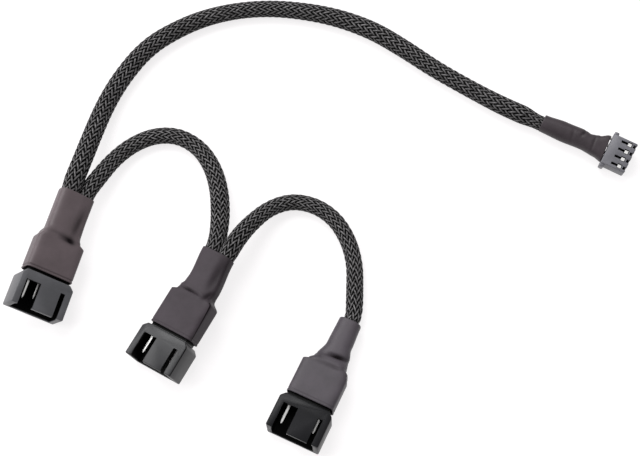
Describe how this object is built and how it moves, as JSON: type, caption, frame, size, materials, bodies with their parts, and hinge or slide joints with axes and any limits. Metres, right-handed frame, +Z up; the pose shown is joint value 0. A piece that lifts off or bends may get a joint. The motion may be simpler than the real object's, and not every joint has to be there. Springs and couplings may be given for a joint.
{
  "type": "fan splitter cable",
  "caption": "Braided splitter cable that carries fan power, speed and control lines from one small plug to a chain of shrouded pin ports",
  "frame": {"origin": "on the table, under the middle of the box round the four connectors and their boots", "axes": "+X to the right along the row from the ports to the plug, +Y away from the ports' mouths, +Z up from the table"},
  "size_m": [0.1545, 0.1196, 0.013],
  "materials": {
    "braid": "black polyester braid, woven two over two",
    "shrink_tube": "matt heat shrink tube, dark grey with a brown cast",
    "port_plastic": "moulded nylon, fine satin",
    "plug_plastic": "moulded nylon, satin",
    "pin_metal": "bright tin plate over brass",
    "wire_insulation": "black flexible insulation"
  },
  "bodies": {
    "root": {"board_plug_boot": "shrink_tube", "board_plug_contact_1": "pin_metal", "board_plug_contact_2": "pin_metal", "board_plug_contact_3": "pin_metal", "board_plug_contact_4": "pin_metal", "board_plug_housing": "plug_plastic", "board_plug_wire_1": "wire_insulation", "board_plug_wire_2": "wire_insulation", "board_plug_wire_3": "wire_insulation", "board_plug_wire_4": "wire_insulation", "fan_port_1_boot": "shrink_tube", "fan_port_1_housing": "port_plastic", "fan_port_1_pin_1": "pin_metal", "fan_port_1_pin_2": "pin_metal", "fan_port_1_pin_3": "pin_metal", "fan_port_1_pin_4": "pin_metal", "fan_port_1_wire_in_1": "wire_insulation", "fan_port_1_wire_in_2": "wire_insulation", "fan_port_1_wire_in_3": "wire_insulation", "fan_port_1_wire_in_4": "wire_insulation", "fan_port_1_wire_out_1": "wire_insulation", "fan_port_1_wire_out_2": "wire_insulation", "fan_port_1_wire_out_3": "wire_insulation", "fan_port_1_wire_out_4": "wire_insulation", "fan_port_2_boot": "shrink_tube", "fan_port_2_housing": "port_plastic", "fan_port_2_pin_1": "pin_metal", "fan_port_2_pin_2": "pin_metal", "fan_port_2_pin_3": "pin_metal", "fan_port_2_pin_4": "pin_metal", "fan_port_2_wire_in_1": "wire_insulation", "fan_port_2_wire_in_2": "wire_insulation", "fan_port_2_wire_in_3": "wire_insulation", "fan_port_2_wire_in_4": "wire_insulation", "fan_port_2_wire_out_1": "wire_insulation", "fan_port_2_wire_out_2": "wire_insulation", "fan_port_2_wire_out_3": "wire_insulation", "fan_port_2_wire_out_4": "wire_insulation", "fan_port_3_boot": "shrink_tube", "fan_port_3_housing": "port_plastic", "fan_port_3_pin_1": "pin_metal", "fan_port_3_pin_2": "pin_metal", "fan_port_3_pin_3": "pin_metal", "fan_port_3_pin_4": "pin_metal", "fan_port_3_wire_in_1": "wire_insulation", "fan_port_3_wire_in_2": "wire_insulation", "fan_port_3_wire_in_3": "wire_insulation", "fan_port_3_wire_in_4": "wire_insulation", "link_cable_1": "braid", "link_cable_2": "braid", "main_cable": "braid"}
  },
  "joints": []
}
